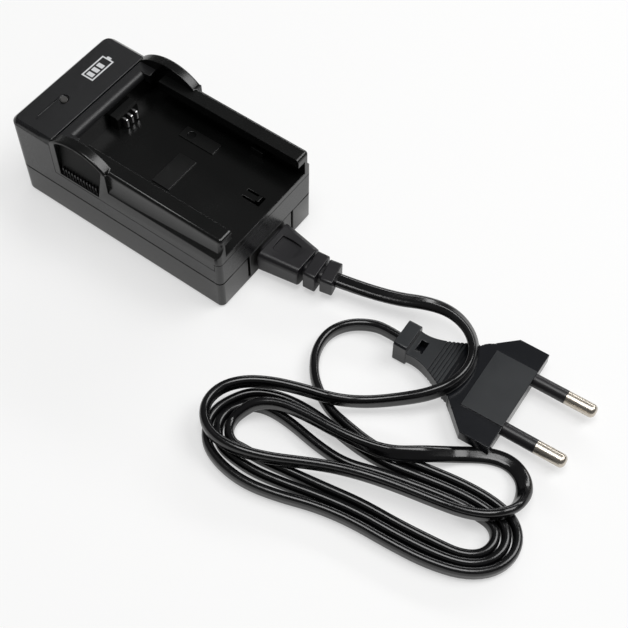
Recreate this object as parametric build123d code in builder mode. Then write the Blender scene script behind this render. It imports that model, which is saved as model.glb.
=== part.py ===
"""Camera battery charger with a figure-of-eight mains inlet, its cord and a flat two-pin plug.

Frame: X runs along the case towards the inlet, Z is up, and the origin is the bottom centre of the case.
"""
import os
from math import atan2, cos, pi, radians, sin, tan

from build123d import *

os.makedirs("parts", exist_ok=True)

# Case
case_length = 78.0
case_width = 43.6
part_line = 11.4
cap_length = 15.8
cap_height = 31.0
cap_chamfer = 1.5
corner_radius = 3.0
end_radius = 1.7
line_chamfer = 0.3
foot_chamfer = 0.8
wall = 2.0
fit = 0.15

# Battery cradle
floor_height = 22.6
floor_thickness = 2.0
bar_width = 4.6
bar_round = 2.0
bar_edge = 0.6
rail_height = 31.0
rail_wall = 3.3
rail_inset = 1.3
rail_round = 1.2
ledge_height = 23.4
ledge_rise = 1.8
lip_height = 3.2
lip_reach = 3.1
ear_length = 21.5
ear_rise = 4.2
ear_round = 0.8
skirt_height = 17.6

# Scooped grip under each ear, with short ribs along its foot
grip_margin = 2.2
grip_floor = 0.9
grip_frame = 0.8
grip_end = 1.5
grip_toe = 4.4
grip_low_depth = 1.0
grip_top_depth = 2.3
rib_pitch = 1.15
rib_width = 0.55
rib_tall = 3.0
rib_sunk = 0.35

# Bay floor details
pad_rise = 0.35
long_pad = (13.0, 4.5)
long_pad_place = (6.5, 10.1)
wide_pad = (6.4, 13.0)
wide_pad_place = (7.9, -3.6)
dimple_radius = 1.3
tongue_length = 6.2
tongue_width = 3.4
tongue_gap = 0.6
tongue_inset = 9.8
tongue_offset = 2.6
nub_rise = 0.9
key_length = 4.4
key_inset = 15.4
key_height = 2.6
notch_length = 3.4
notch_gap = 2.0

# Blade contacts
blade_count = 3
blade_pitch = 2.1
blade_offset = 3.4
blade_thickness = 0.6
blade_reach = 4.6
blade_height = 3.4
tail_width = 1.2
tail_drop = 4.0
holder_depth = 3.0
holder_height = 4.6
holder_margin = 2.4
holder_chamfer = 0.6
lead_radius = 0.6
lead_clearance = 2.4

# Status lamp and its window in the cap
window_length = 12.6
window_width = 3.4
window_depth = 0.5
window_inset = 8.0
window_offset = -11.2
guide_radius = 1.2
guide_flange = 2.0
guide_flange_height = 1.0
guide_bevel = 0.3
lamp_radius = 1.5
lamp_height = 4.0
lamp_bevel = 0.7
lamp_gap = 0.2

# Case screws
boss_radius = 3.2
boss_inset = 4.8
screw_radius = 1.2
screw_cover = 1.2
head_radius = 2.3
head_height = 1.8
head_depth = 4.0

# Mains inlet
inlet_offset = 1.6
inlet_axis = 5.8
inlet_width = 20.0
inlet_depth = 12.5
inlet_floor = 1.2
inlet_gap = 0.9
socket_width = 13.8
socket_height = 7.8
socket_depth = 9.6
inlet_pin_radius = 1.18
inlet_pin_pitch = 8.6
inlet_pin_reach = 7.6
inlet_pin_tail = 5.5

# Connector on the cord
nose_clearance = 0.2
connector_gap = 0.6
connector_width = 15.2
connector_height = 8.4
connector_length = 13.0
connector_end_width = 11.2
connector_end_height = 7.6
connector_round = 1.9
connector_panel = (6.8, 5.5)
connector_panel_place = 5.5
panel_recess = 0.4
relief_widths = (9.6, 8.4)
relief_heights = (7.4, 6.6)
relief_segment = 3.9
relief_neck = 0.9
relief_neck_width = 5.6
relief_neck_height = 4.6
relief_turn = 6.0
sleeve_wall = 0.4

# Circuit board and what stands on it
board_thickness = 1.6
board_margin = 1.2
board_end_gap = 1.4
post_spacing = (43.6, 26.0)
post_radius = 1.6
core_size = (15.0, 12.5, 11.0)
core_leg = 3.4
winding_size = (10.0, 15.5, 7.6)
winding_round = 1.2
input_can = (4.0, 12.5)
output_can = (3.15, 11.0)
choke_size = (3.2, 8.0)
rectifier_size = (6.6, 4.8, 2.6)
transistor_size = (8.0, 2.8, 10.5)
chip_size = (5.0, 4.0, 1.6)
fuse_size = (1.6, 7.0)
component_edge = 0.4
row_gap = 1.5

# Cord
cord_width = 4.9
cord_thickness = 3.0
cord_radius = (cord_width + cord_thickness) / 4
lead_first_run = 8.0
bend_share = 0.45
tail_run_in = 5.5
hank_low = 0.3
hank_height = 10.0
hank_round = 4.0

# Plug, drawn about its own axis from the face backwards, then laid in place with its nose up
plug_place = (126.1, -0.1, 4.6)
plug_yaw = 2.7
plug_lift = 1.0
plug_width = 35.2
plug_side = 9.2
plug_taper = 8.2
plug_back_width = 19.6
wing_edge = 4.0
wing_root = 4.8
plug_panel_width = 20.6
plug_panel_length = 12.9
plug_thickness = 5.6
flare_halves = ((-13.0, 10.2), (-17.4, 9.8), (-22.4, 7.6), (-27.8, 5.1), (-33.9, 4.5))
neck_height = 4.6
ridge_count = 12
ridge_pitch = 1.05
ridge_start = 14.0
ridge_width = 0.4
ridge_depth = 0.3
flange_length = 4.2
flange_width = 9.4
flange_height = 8.6
flange_rise = 0.55
flange_round = 0.9
plug_hole_length = 2.2
plug_hole_width = 4.0
plug_hole_inset = 2.6
plug_hole_depth = 3.4
pin_pitch = 18.2
pin_radius = 2.0
pin_length = 19.0
pin_round = 1.4
sleeve_length = 10.0
shank_radius = 1.3
shank_depth = 9.0
shank_clearance = 0.05

# Places worked out from the driving dimensions
half_length = case_length / 2
half_width = case_width / 2
seam = cap_length - half_length
bay_start = seam + bar_width
floor_under = floor_height - floor_thickness
screw_length = floor_under - screw_cover - part_line
inner_width = half_width - wall
bay_width = half_width - rail_wall
lip_edge = bay_width - lip_reach
lip_under = rail_height - lip_height
ear_end = seam + ear_length
boss_x = half_length - boss_inset
boss_y = half_width - boss_inset
boss_places = [(x, y) for x in (-boss_x, boss_x) for y in (-boss_y, boss_y)]
board_top = inlet_axis - inlet_pin_radius
board_under = board_top - board_thickness
inlet_back = half_length - inlet_depth
window_x = window_inset - half_length
guide_y = window_offset + window_length / 2 - window_width / 2
blade_places = [(i - (blade_count - 1) / 2) * blade_pitch + blade_offset for i in range(blade_count)]
blade_tail_x = bay_start + holder_depth / 2
plug_back = -plug_side - plug_taper
neck_back = flare_halves[-1][0]
flange_back = neck_back - flange_length
plug_pose = Location(plug_place, (0, -plug_lift, plug_yaw))
pin_places = [(side * pin_pitch / 2, 0) for side in (-1, 1)]
inlet_pin_places = [(inlet_offset + side * inlet_pin_pitch / 2, inlet_axis) for side in (-1, 1)]


def save(part, name):
    """Labels a finished piece and writes it."""
    part.label = name
    export_step(part, f"parts/{name}.step")


with BuildSketch() as case_plan:
    Rectangle(case_length, case_width)
    fillet(case_plan.vertices().group_by(Axis.X)[0], corner_radius)
    fillet(case_plan.vertices().group_by(Axis.X)[-1], end_radius)

# Lower tray: walls, screw bosses from below, board posts and the inlet's opening
with BuildPart() as base_shell:
    with BuildSketch():
        add(case_plan.sketch)
    extrude(amount=part_line)
    chamfer(base_shell.faces().sort_by(Axis.Z)[0].edges(), foot_chamfer)
    chamfer(base_shell.faces().sort_by(Axis.Z)[-1].edges(), line_chamfer)
    with BuildSketch(Plane.XY.offset(wall)):
        RectangleRounded(case_length - 2 * wall, case_width - 2 * wall, corner_radius - wall / 2)
    extrude(amount=part_line, mode=Mode.SUBTRACT)
    with BuildSketch(Plane.XY.offset(wall)):
        with Locations(*boss_places):
            Circle(boss_radius)
    extrude(amount=part_line - wall)
    post_x = (inlet_back + boss_radius - boss_x) / 2
    with BuildSketch(Plane.XY.offset(wall)):
        with Locations((post_x, 0)):
            with GridLocations(*post_spacing, 2, 2):
                Circle(post_radius)
    extrude(amount=board_under - wall)
    with BuildSketch(Plane.XY):
        with Locations(*boss_places):
            Circle(screw_radius + fit)
    extrude(amount=part_line, mode=Mode.SUBTRACT)
    with BuildSketch(Plane.XY):
        with Locations(*boss_places):
            Circle(head_radius + fit)
    extrude(amount=head_depth, mode=Mode.SUBTRACT)
    with BuildSketch(Plane.XY.offset(inlet_floor)):
        with Locations((half_length - inlet_depth / 2, inlet_offset)):
            Rectangle(inlet_depth, inlet_width)
    extrude(amount=part_line, mode=Mode.SUBTRACT)
    with BuildSketch(Plane.XY.offset(wall)):
        with Locations((half_length - wall / 2, inlet_offset)):
            Rectangle(wall, inlet_width + 2 * inlet_gap)
    extrude(amount=part_line, mode=Mode.SUBTRACT)
save(base_shell.part, "base_shell")

# Outline that the upper case and the cradle share along their seam, seen from the near side
seam_points = [
    (seam, cap_height + ear_rise),
    (seam, skirt_height),
    (half_length - wall, skirt_height),
    (half_length - wall, floor_under),
    (half_length, floor_under),
    (half_length, cap_height + ear_rise),
]

# Upper case: cap with its lamp window, side skirts that carry the cradle, and four bosses
with BuildPart() as upper_shell:
    with BuildSketch(Plane.XY.offset(part_line)):
        add(case_plan.sketch)
    extrude(amount=cap_height - part_line)
    chamfer(upper_shell.faces().sort_by(Axis.Z)[-1].edges(), cap_chamfer)
    chamfer(upper_shell.faces().sort_by(Axis.Z)[0].edges(), line_chamfer)
    with BuildSketch(Plane.XZ):
        with BuildLine():
            Polyline(*seam_points, close=True)
        make_face()
    extrude(amount=case_width, both=True, mode=Mode.SUBTRACT)
    with BuildSketch(Plane.XY.offset(floor_under)):
        with Locations(((seam + half_length) / 2, 0)):
            Rectangle(half_length - seam, 2 * inner_width)
    extrude(amount=cap_height, mode=Mode.SUBTRACT)
    with BuildSketch(Plane.XY.offset(part_line)):
        RectangleRounded(case_length - 2 * wall, 2 * inner_width, corner_radius - wall / 2)
    extrude(amount=floor_under - part_line, mode=Mode.SUBTRACT)
    with BuildSketch(Plane.XY.offset(floor_under)):
        with Locations((seam - cap_length / 2, 0)):
            Rectangle(cap_length - 2 * wall, 2 * inner_width)
    extrude(amount=cap_height - wall - floor_under, mode=Mode.SUBTRACT)
    for place in boss_places:
        boss_top = floor_under if place[0] > seam else cap_height - wall
        with BuildSketch(Plane.XY.offset(part_line)):
            with Locations(place):
                Circle(boss_radius)
        extrude(amount=boss_top - part_line)
    with BuildSketch(Plane.XY.offset(part_line)):
        with Locations(*boss_places):
            Circle(screw_radius)
    extrude(amount=screw_length, mode=Mode.SUBTRACT)
    with BuildSketch(Plane.XY.offset(cap_height)):
        with Locations((window_x, window_offset)):
            SlotOverall(window_length, window_width, rotation=90)
    extrude(amount=-window_depth, mode=Mode.SUBTRACT)
    with BuildSketch(Plane.XY.offset(cap_height)):
        with Locations((window_x, guide_y)):
            Circle(guide_radius + fit)
    extrude(amount=-wall, mode=Mode.SUBTRACT)
save(upper_shell.part, "upper_shell")

# Cradle: near half first, with ear, rail, lip and ribbed grip, then its mirror image and the floor details
arch_start = (seam, rail_height)
arch_crest = ((seam + ear_end) / 2, rail_height + ear_rise)
arch_finish = (ear_end, rail_height)
arch_radius = ear_length**2 / (8 * ear_rise) + ear_rise / 2
arch_middle = arch_crest[1] - arch_radius
grip_left = seam + grip_margin
grip_low = skirt_height + grip_floor


def under_arch(x):
    """Point at x on the arc that runs inside the ear's arch, a frame's width below it."""
    across = x - arch_crest[0]
    return (x, arch_middle + ((arch_radius - grip_frame) ** 2 - across**2) ** 0.5)


with BuildPart() as grip_scoop:
    with BuildSketch(Plane.XZ.offset(half_width)):
        with BuildLine():
            ThreePointArc(under_arch(grip_left), under_arch(arch_crest[0]), under_arch(ear_end - grip_end))
            Polyline(
                under_arch(ear_end - grip_end),
                (ear_end - grip_toe, grip_low),
                (grip_left, grip_low),
                under_arch(grip_left),
            )
        make_face()
    extrude(amount=-grip_top_depth)
    with BuildSketch(Plane.YZ.offset(seam)):
        with BuildLine():
            Polyline(
                (grip_low_depth - half_width, grip_low),
                (grip_top_depth - half_width, grip_low),
                (grip_top_depth - half_width, arch_crest[1]),
                close=True,
            )
        make_face()
    extrude(amount=ear_length, mode=Mode.SUBTRACT)

with BuildPart() as battery_cradle:
    with BuildSketch(Plane.XZ.offset(-fit)):
        with BuildLine():
            ThreePointArc(arch_start, arch_crest, arch_finish)
            Polyline(
                arch_finish,
                (half_length, rail_height),
                (half_length, floor_under),
                (half_length - wall, floor_under),
                (half_length - wall, skirt_height),
                (seam, skirt_height),
                arch_start,
            )
        make_face()
    extrude(amount=half_width + fit)
    fillet(battery_cradle.edges().filter_by(GeomType.CIRCLE).sort_by(Axis.Y)[0], ear_round)
    with BuildSketch(Plane.XY.offset(floor_under)):
        with Locations(((seam + half_length) / 2, -(inner_width - fit) / 2)):
            Rectangle(half_length - seam, inner_width - fit)
    extrude(amount=rail_height - floor_under)
    with BuildSketch(Plane.XY):
        with Locations(((seam + half_length) / 2, 0)):
            Rectangle(half_length - seam, 2 * inner_width)
    extrude(amount=floor_under, mode=Mode.SUBTRACT)
    with BuildSketch(Plane.XY.offset(rail_height)):
        with Locations(((seam + half_length) / 2, 0)):
            Rectangle(half_length - seam, 2 * bay_width)
    extrude(amount=2 * ear_rise, mode=Mode.SUBTRACT)
    with BuildSketch(Plane.XY.offset(floor_height)):
        with Locations(((bay_start + half_length) / 2, 0)):
            Rectangle(half_length - bay_start, 2 * lip_edge)
    extrude(amount=rail_height, mode=Mode.SUBTRACT)
    with BuildSketch(Plane.XY.offset(floor_height)):
        with Locations(((bay_start + half_length) / 2, 0)):
            Rectangle(half_length - bay_start, 2 * bay_width)
    extrude(amount=lip_under - floor_height, mode=Mode.SUBTRACT)
    with BuildSketch(Plane.XY.offset(lip_under)):
        with Locations((bay_start + notch_gap + notch_length / 2, 0)):
            Rectangle(notch_length, 2 * bay_width)
    extrude(amount=lip_height, mode=Mode.SUBTRACT)
    with BuildSketch(Plane.YZ.offset(ear_end)):
        with BuildLine():
            Polyline(
                (-half_width, ledge_height),
                (rail_inset - half_width, ledge_height + ledge_rise),
                (rail_inset - half_width, rail_height),
                (-half_width, rail_height),
                close=True,
            )
        make_face()
    extrude(amount=half_length - ear_end, mode=Mode.SUBTRACT)
    rail_face = rail_inset - half_width
    rail_edges = battery_cradle.edges().filter_by_position(Axis.Z, ledge_height + fit, rail_height + fit)
    rail_tops = rail_edges.filter_by(Axis.X).filter_by_position(Axis.Y, rail_face - fit, rail_face + fit)
    rail_ends = rail_edges.filter_by_position(Axis.X, half_length - fit, half_length + fit)
    rail_corners = rail_ends.filter_by(Axis.Z).filter_by_position(Axis.Y, rail_face - fit, rail_face + fit)
    rail_crosses = rail_ends.filter_by(Axis.Y).filter_by_position(Axis.Z, rail_height - fit, rail_height + fit)
    fillet(rail_tops.sort_by(Axis.Z)[-1:] + rail_corners + rail_crosses, rail_round)
    add(grip_scoop.part, mode=Mode.SUBTRACT)
    with BuildSketch(Plane.XZ.offset(half_width - rib_sunk)):
        with Locations(((grip_left + ear_end - grip_toe) / 2, grip_low + rib_tall / 2)):
            with GridLocations(rib_pitch, 1, int((ear_length - grip_margin - grip_toe) / rib_pitch), 1):
                Rectangle(rib_width, rib_tall)
    extrude(amount=-grip_low_depth)
    with BuildSketch():
        add(case_plan.sketch)
    extrude(amount=rail_height + 2 * ear_rise, mode=Mode.INTERSECT)
    mirror(about=Plane.XZ)
    with BuildSketch(Plane.XY.offset(skirt_height)):
        with Locations(*boss_places):
            Circle(boss_radius + fit)
    extrude(amount=floor_under - skirt_height, mode=Mode.SUBTRACT)
    bar_edges = battery_cradle.edges().filter_by(Axis.Y)
    bar_edges = bar_edges.filter_by_position(Axis.Z, rail_height - fit, rail_height + fit)
    fillet(bar_edges.filter_by_position(Axis.X, bay_start - fit, bay_start + fit), bar_round)
    with BuildSketch(Plane.XZ):
        with BuildLine():
            Polyline(
                (seam, rail_height),
                (seam, rail_height - bar_edge),
                (seam + bar_edge, rail_height),
                close=True,
            )
        make_face()
    extrude(amount=bay_width, both=True, mode=Mode.SUBTRACT)
    with BuildSketch(Plane.XY.offset(floor_height)):
        with Locations(long_pad_place):
            Rectangle(*long_pad)
        with Locations(wide_pad_place):
            Rectangle(*wide_pad)
    extrude(amount=pad_rise)
    with BuildSketch(Plane.XY.offset(floor_height)):
        with Locations((long_pad_place[0] - long_pad[0] / 4, long_pad_place[1])):
            Circle(dimple_radius)
    extrude(amount=pad_rise, mode=Mode.SUBTRACT)
    tongue_x = half_length - tongue_inset + tongue_length / 2
    with BuildSketch(Plane.XY.offset(floor_under)):
        with Locations((tongue_x, tongue_offset)):
            Rectangle(tongue_length, tongue_width)
        with Locations((tongue_x - tongue_gap / 2, tongue_offset)):
            Rectangle(tongue_length - tongue_gap, tongue_width - 2 * tongue_gap, mode=Mode.SUBTRACT)
    extrude(amount=floor_thickness, mode=Mode.SUBTRACT)
    with BuildSketch(Plane.XY.offset(floor_height)):
        with Locations((tongue_x + tongue_length / 2 - 2 * tongue_gap, tongue_offset)):
            Rectangle(2 * tongue_gap, tongue_width - 2 * tongue_gap)
    extrude(amount=nub_rise)
    with BuildSketch(Plane.XY.offset(floor_height)):
        with Locations((half_length - key_inset, (lip_edge + bay_width) / 2)):
            Rectangle(key_length, bay_width - lip_edge)
    extrude(amount=key_height)
    with BuildSketch(Plane.XY.offset(floor_under)):
        with Locations(*[(blade_tail_x, y) for y in blade_places]):
            Rectangle(tail_width + 2 * fit, blade_thickness + 2 * fit)
    extrude(amount=floor_thickness, mode=Mode.SUBTRACT)
save(battery_cradle.part, "battery_cradle")

# Block under the cross-bar with a slot for each blade
holder_width = (blade_count - 1) * blade_pitch + 2 * holder_margin
with BuildPart() as contact_holder:
    with BuildSketch(Plane.XY.offset(floor_height)):
        with Locations((bay_start + holder_depth / 2, blade_offset)):
            Rectangle(holder_depth, holder_width)
    extrude(amount=holder_height)
    holder_edges = contact_holder.edges().filter_by(Axis.Y).group_by(Axis.Z)[-1]
    chamfer(holder_edges.sort_by(Axis.X)[-1], holder_chamfer)
    with BuildSketch(Plane.XY.offset(floor_height)):
        with Locations(*[(bay_start + holder_depth, y) for y in blade_places]):
            Rectangle(2 * (holder_depth - fit), blade_thickness + 2 * fit)
    extrude(amount=blade_height + fit, mode=Mode.SUBTRACT)
save(contact_holder.part, "contact_holder")

# Stamped blades: an upright contact with a solder tail through the bay floor
blade_middle = floor_height + blade_height / 2
tail_end = blade_middle - tail_drop - floor_thickness
with BuildPart() as battery_contacts:
    for blade_y in blade_places:
        with BuildSketch(Plane.XZ.offset(-blade_y)):
            with Locations((bay_start + 2 * fit + blade_reach / 2, blade_middle)):
                RectangleRounded(blade_reach, blade_height, blade_thickness)
            with Locations((blade_tail_x, (blade_middle + tail_end) / 2)):
                Rectangle(tail_width, blade_middle - tail_end)
        extrude(amount=blade_thickness / 2, both=True)
save(battery_contacts.part, "battery_contacts")

# Leads from the blade tails to the board
with BuildPart() as contact_leads:
    with BuildSketch(Plane.XY.offset(board_top)):
        with Locations(*[(blade_tail_x, y) for y in blade_places]):
            Circle(lead_radius)
    extrude(amount=tail_end - board_top)
save(contact_leads.part, "contact_leads")

# Board with its corners cut back round the bosses
board_start = wall + board_margin - half_length
board_end = inlet_back - board_end_gap
board_width = 2 * (inner_width - board_margin)
boss_corner = boss_inset + boss_radius + board_margin
with BuildPart() as circuit_board:
    with BuildSketch(Plane.XY.offset(board_under)):
        with Locations(((board_start + board_end) / 2, 0)):
            Rectangle(board_end - board_start, board_width)
        corner_x = boss_corner / 2 - half_length
        with Locations((corner_x, half_width), (corner_x, -half_width)):
            Rectangle(boss_corner, 2 * boss_corner, mode=Mode.SUBTRACT)
    extrude(amount=board_thickness)
save(circuit_board.part, "circuit_board")

# Lamp on the board and the clear rod that carries its light to the lens in the cap
with BuildPart() as status_lamp:
    with BuildSketch(Plane.XY.offset(board_top)):
        with Locations((window_x, guide_y)):
            Circle(lamp_radius)
    extrude(amount=lamp_height)
    chamfer(status_lamp.edges().group_by(Axis.Z)[-1], lamp_bevel)
save(status_lamp.part, "status_lamp")

guide_low = board_top + lamp_height + lamp_gap
guide_collar = cap_height - wall - guide_flange_height
with BuildPart() as light_guide:
    with BuildSketch(Plane.XY.offset(guide_low)):
        with Locations((window_x, guide_y)):
            Circle(guide_radius)
    extrude(amount=cap_height - guide_low)
    with BuildSketch(Plane.XY.offset(guide_collar)):
        with Locations((window_x, guide_y)):
            Circle(guide_flange)
    extrude(amount=guide_flange_height)
    chamfer(light_guide.edges().group_by(Axis.Z)[-1], guide_bevel)
save(light_guide.part, "light_guide")

# Mains parts on the board, in a row behind the inlet, and the low-voltage parts towards the cap
core_x = blade_tail_x + lead_radius + lead_clearance + core_size[0] / 2
with BuildPart() as transformer_core:
    with BuildSketch(Plane.XZ):
        with Locations((core_x, board_top + core_size[2] / 2)):
            Rectangle(core_size[0], core_size[2])
            Rectangle(winding_size[0] + 2 * fit, winding_size[2] + 2 * fit, mode=Mode.SUBTRACT)
            Rectangle(core_leg, core_size[2])
    extrude(amount=core_size[1] / 2, both=True)
save(transformer_core.part, "transformer_core")

with BuildPart() as transformer_winding:
    with BuildSketch(Plane.XZ):
        with Locations((core_x, board_top + core_size[2] / 2)):
            RectangleRounded(winding_size[0], winding_size[2], winding_round)
    extrude(amount=winding_size[1] / 2, both=True)
    with BuildSketch(Plane.XY.offset(board_top)):
        with Locations((core_x, 0)):
            Rectangle(core_leg + 2 * fit, core_size[1] + 2 * fit)
    extrude(amount=core_size[2], mode=Mode.SUBTRACT)
save(transformer_winding.part, "transformer_winding")


def can(name, radius, height, place):
    """A round part that stands on the board, with a bevelled top edge."""
    with BuildPart() as piece:
        with BuildSketch(Plane.XY.offset(board_top)):
            with Locations(place):
                Circle(radius)
        extrude(amount=height)
        chamfer(piece.edges().group_by(Axis.Z)[-1], component_edge)
    save(piece.part, name)


def package(name, size, place):
    """A flat moulded part on the board, with a bevelled top."""
    with BuildPart() as piece:
        with BuildSketch(Plane.XY.offset(board_top)):
            with Locations(place):
                Rectangle(size[0], size[1])
        extrude(amount=size[2])
        chamfer(piece.edges().group_by(Axis.Z)[-1], component_edge / 2)
    save(piece.part, name)


mains_x = core_x + core_size[0] / 2 + row_gap
output_x = core_x - core_size[0] / 2 - row_gap
side_y = board_width / 2 - row_gap
can("input_capacitor", *input_can, (mains_x + input_can[0], side_y - input_can[0]))
can("choke", *choke_size, (mains_x + choke_size[0], choke_size[0] - side_y))
can("output_capacitor", *output_can, (output_x - output_can[0], side_y - output_can[0]))
package("rectifier", rectifier_size, (core_x, side_y - rectifier_size[1] / 2))
package("switching_transistor", transistor_size, (core_x, transistor_size[1] / 2 - side_y))
package("control_chip", chip_size, (output_x - chip_size[0] / 2, chip_size[1] / 2 - side_y))

with BuildPart() as fuse:
    with BuildSketch(Plane.XZ):
        with Locations((mains_x + fuse_size[0], board_top + fuse_size[0])):
            Circle(fuse_size[0])
    extrude(amount=fuse_size[1] / 2, both=True)
    chamfer(fuse.edges().filter_by(GeomType.CIRCLE), component_edge)
save(fuse.part, "fuse")

# Screws from below: head in the counterbore, shank up into the upper boss
with BuildPart() as case_screws:
    with BuildSketch(Plane.XY.offset(head_depth - head_height)):
        with Locations(*boss_places):
            Circle(head_radius)
    extrude(amount=head_height)
    with BuildSketch(Plane.XY.offset(head_depth)):
        with Locations(*boss_places):
            Circle(screw_radius - fit / 3)
    extrude(amount=part_line + screw_length - head_depth - fit)
save(case_screws.part, "case_screws")

# Inlet block with the recess that takes the connector's nose
with BuildPart() as inlet_socket:
    with BuildSketch(Plane.XY.offset(inlet_floor)):
        with Locations((half_length - inlet_depth / 2, inlet_offset)):
            Rectangle(inlet_depth, inlet_width)
    extrude(amount=part_line - inlet_floor)
    with BuildSketch(Plane.YZ.offset(half_length)):
        with Locations((inlet_offset, inlet_axis)):
            SlotOverall(socket_width, socket_height)
    extrude(amount=-socket_depth, mode=Mode.SUBTRACT)
    with BuildSketch(Plane.YZ.offset(inlet_back)):
        with Locations(*inlet_pin_places):
            Circle(inlet_pin_radius + shank_clearance)
    extrude(amount=inlet_depth, mode=Mode.SUBTRACT)
save(inlet_socket.part, "inlet_socket")

with BuildPart() as inlet_pins:
    with BuildSketch(Plane.YZ.offset(inlet_back - inlet_pin_tail)):
        with Locations(*inlet_pin_places):
            Circle(inlet_pin_radius)
    extrude(amount=inlet_pin_tail + inlet_depth - socket_depth + inlet_pin_reach)
    chamfer(inlet_pins.faces().group_by(Axis.X)[-1].edges(), inlet_pin_radius / 2)
save(inlet_pins.part, "inlet_pins")

# Connector: nose in the socket, tapered body with a sunk panel, and a relief that bends with the cord
connector_face = half_length + connector_gap
connector_back = connector_face + connector_length
nose_start = half_length - socket_depth + nose_clearance
relief_planes = []
relief_x, relief_y, relief_heading = connector_back, inlet_offset, 0.0
for _ in relief_widths:
    relief_heading += relief_turn
    ahead = (cos(radians(relief_heading)), sin(radians(relief_heading)), 0)
    across = (-ahead[1], ahead[0], 0)
    relief_planes.append(Plane(origin=(relief_x, relief_y, inlet_axis), x_dir=across, z_dir=ahead))
    relief_x += ahead[0] * (relief_neck + relief_segment)
    relief_y += ahead[1] * (relief_neck + relief_segment)
lead_exit = (relief_x, relief_y, inlet_axis)
with BuildPart() as cord_connector:
    with BuildSketch(Plane.YZ.offset(connector_face)):
        with Locations((inlet_offset, inlet_axis)):
            RectangleRounded(connector_width, connector_height, connector_round)
    with BuildSketch(Plane.YZ.offset(connector_back)):
        with Locations((inlet_offset, inlet_axis)):
            RectangleRounded(connector_end_width, connector_end_height, connector_round)
    loft()
    with BuildSketch(Plane.YZ.offset(nose_start)):
        with Locations((inlet_offset, inlet_axis)):
            SlotOverall(socket_width - 2 * nose_clearance, socket_height - 2 * nose_clearance)
    extrude(amount=connector_face - nose_start)
    with BuildSketch(Plane.YZ.offset(nose_start)):
        with Locations(*inlet_pin_places):
            Circle(inlet_pin_radius + sleeve_wall + 2 * shank_clearance)
    extrude(amount=connector_face - nose_start, mode=Mode.SUBTRACT)
    with BuildSketch(Plane.XY.offset(inlet_axis + connector_height / 2)):
        with Locations((connector_face + connector_panel_place, inlet_offset)):
            RectangleRounded(*connector_panel, panel_recess)
    extrude(amount=-2 * panel_recess, mode=Mode.SUBTRACT)
    for plane, width, height in zip(relief_planes, relief_widths, relief_heights):
        with BuildSketch(plane.offset(-relief_neck)):
            RectangleRounded(relief_neck_width, relief_neck_height, connector_round)
        extrude(amount=3 * relief_neck)
        with BuildSketch(plane.offset(relief_neck)):
            RectangleRounded(width, height, connector_round / 2)
        extrude(amount=relief_segment)
save(cord_connector.part, "cord_connector")

# Spring sleeves inside the connector's nose, one on each inlet pin
with BuildPart() as connector_contacts:
    with BuildSketch(Plane.YZ.offset(nose_start)):
        with Locations(*inlet_pin_places):
            Circle(inlet_pin_radius + sleeve_wall + shank_clearance)
            Circle(inlet_pin_radius + shank_clearance, mode=Mode.SUBTRACT)
    extrude(amount=connector_face - nose_start)
save(connector_contacts.part, "connector_contacts")

# Plug: flat six-sided body with a raised panel, a flared neck with fine grooves, a cord flange and a slot
plug_plan = [
    (0, plug_width / 2),
    (-plug_side, plug_width / 2),
    (plug_back, plug_back_width / 2),
    (plug_back, -plug_back_width / 2),
    (-plug_side, -plug_width / 2),
    (0, -plug_width / 2),
]
plug_section = [
    (plug_width / 2, wing_edge / 2),
    (plug_panel_width / 2, wing_root / 2),
    (-plug_panel_width / 2, wing_root / 2),
    (-plug_width / 2, wing_edge / 2),
    (-plug_width / 2, -wing_edge / 2),
    (-plug_panel_width / 2, -wing_root / 2),
    (plug_panel_width / 2, -wing_root / 2),
    (plug_width / 2, -wing_edge / 2),
]
far_flare = flare_halves
near_flare = [(x, -half) for x, half in flare_halves]
with BuildPart() as mains_plug:
    with BuildSketch(Plane.YZ.offset(plug_back)):
        with BuildLine():
            Polyline(*plug_section, close=True)
        make_face()
    extrude(amount=-plug_back)
    with BuildSketch(Plane.XY.offset(-plug_thickness / 2)):
        with BuildLine():
            Polyline(*plug_plan, close=True)
        make_face()
    extrude(amount=plug_thickness, mode=Mode.INTERSECT)
    with BuildSketch(Plane.XY.offset(-plug_thickness / 2)):
        with Locations((-plug_panel_length / 2, 0)):
            Rectangle(plug_panel_length, plug_panel_width)
    extrude(amount=plug_thickness)
    with BuildSketch(Plane.XY.offset(-neck_height / 2)):
        with BuildLine():
            Spline(*far_flare)
            Line(far_flare[-1], near_flare[-1])
            Spline(*near_flare)
            Line(near_flare[0], far_flare[0])
        make_face()
    extrude(amount=neck_height)
    for groove_plane in (neck_height / 2, -neck_height / 2 + ridge_depth):
        with BuildSketch(Plane.XY.offset(groove_plane)):
            with Locations((-ridge_start - ridge_count * ridge_pitch / 2, 0)):
                with GridLocations(ridge_pitch, 1, ridge_count, 1):
                    Rectangle(ridge_width, plug_width)
        extrude(amount=-ridge_depth, mode=Mode.SUBTRACT)
    with BuildSketch(Plane.YZ.offset(flange_back)):
        with Locations((0, flange_rise)):
            RectangleRounded(flange_width, flange_height, flange_round)
    extrude(amount=flange_length)
    with BuildSketch(Plane.XY.offset(neck_height / 2)):
        with Locations((neck_back + plug_hole_inset, 0)):
            Rectangle(plug_hole_length, plug_hole_width)
    extrude(amount=-plug_hole_depth, mode=Mode.SUBTRACT)
    with BuildSketch(Plane.YZ):
        with Locations(*pin_places):
            Circle(shank_radius + shank_clearance)
    extrude(amount=-shank_depth, mode=Mode.SUBTRACT)
save(mains_plug.part.moved(plug_pose), "mains_plug")

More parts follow.
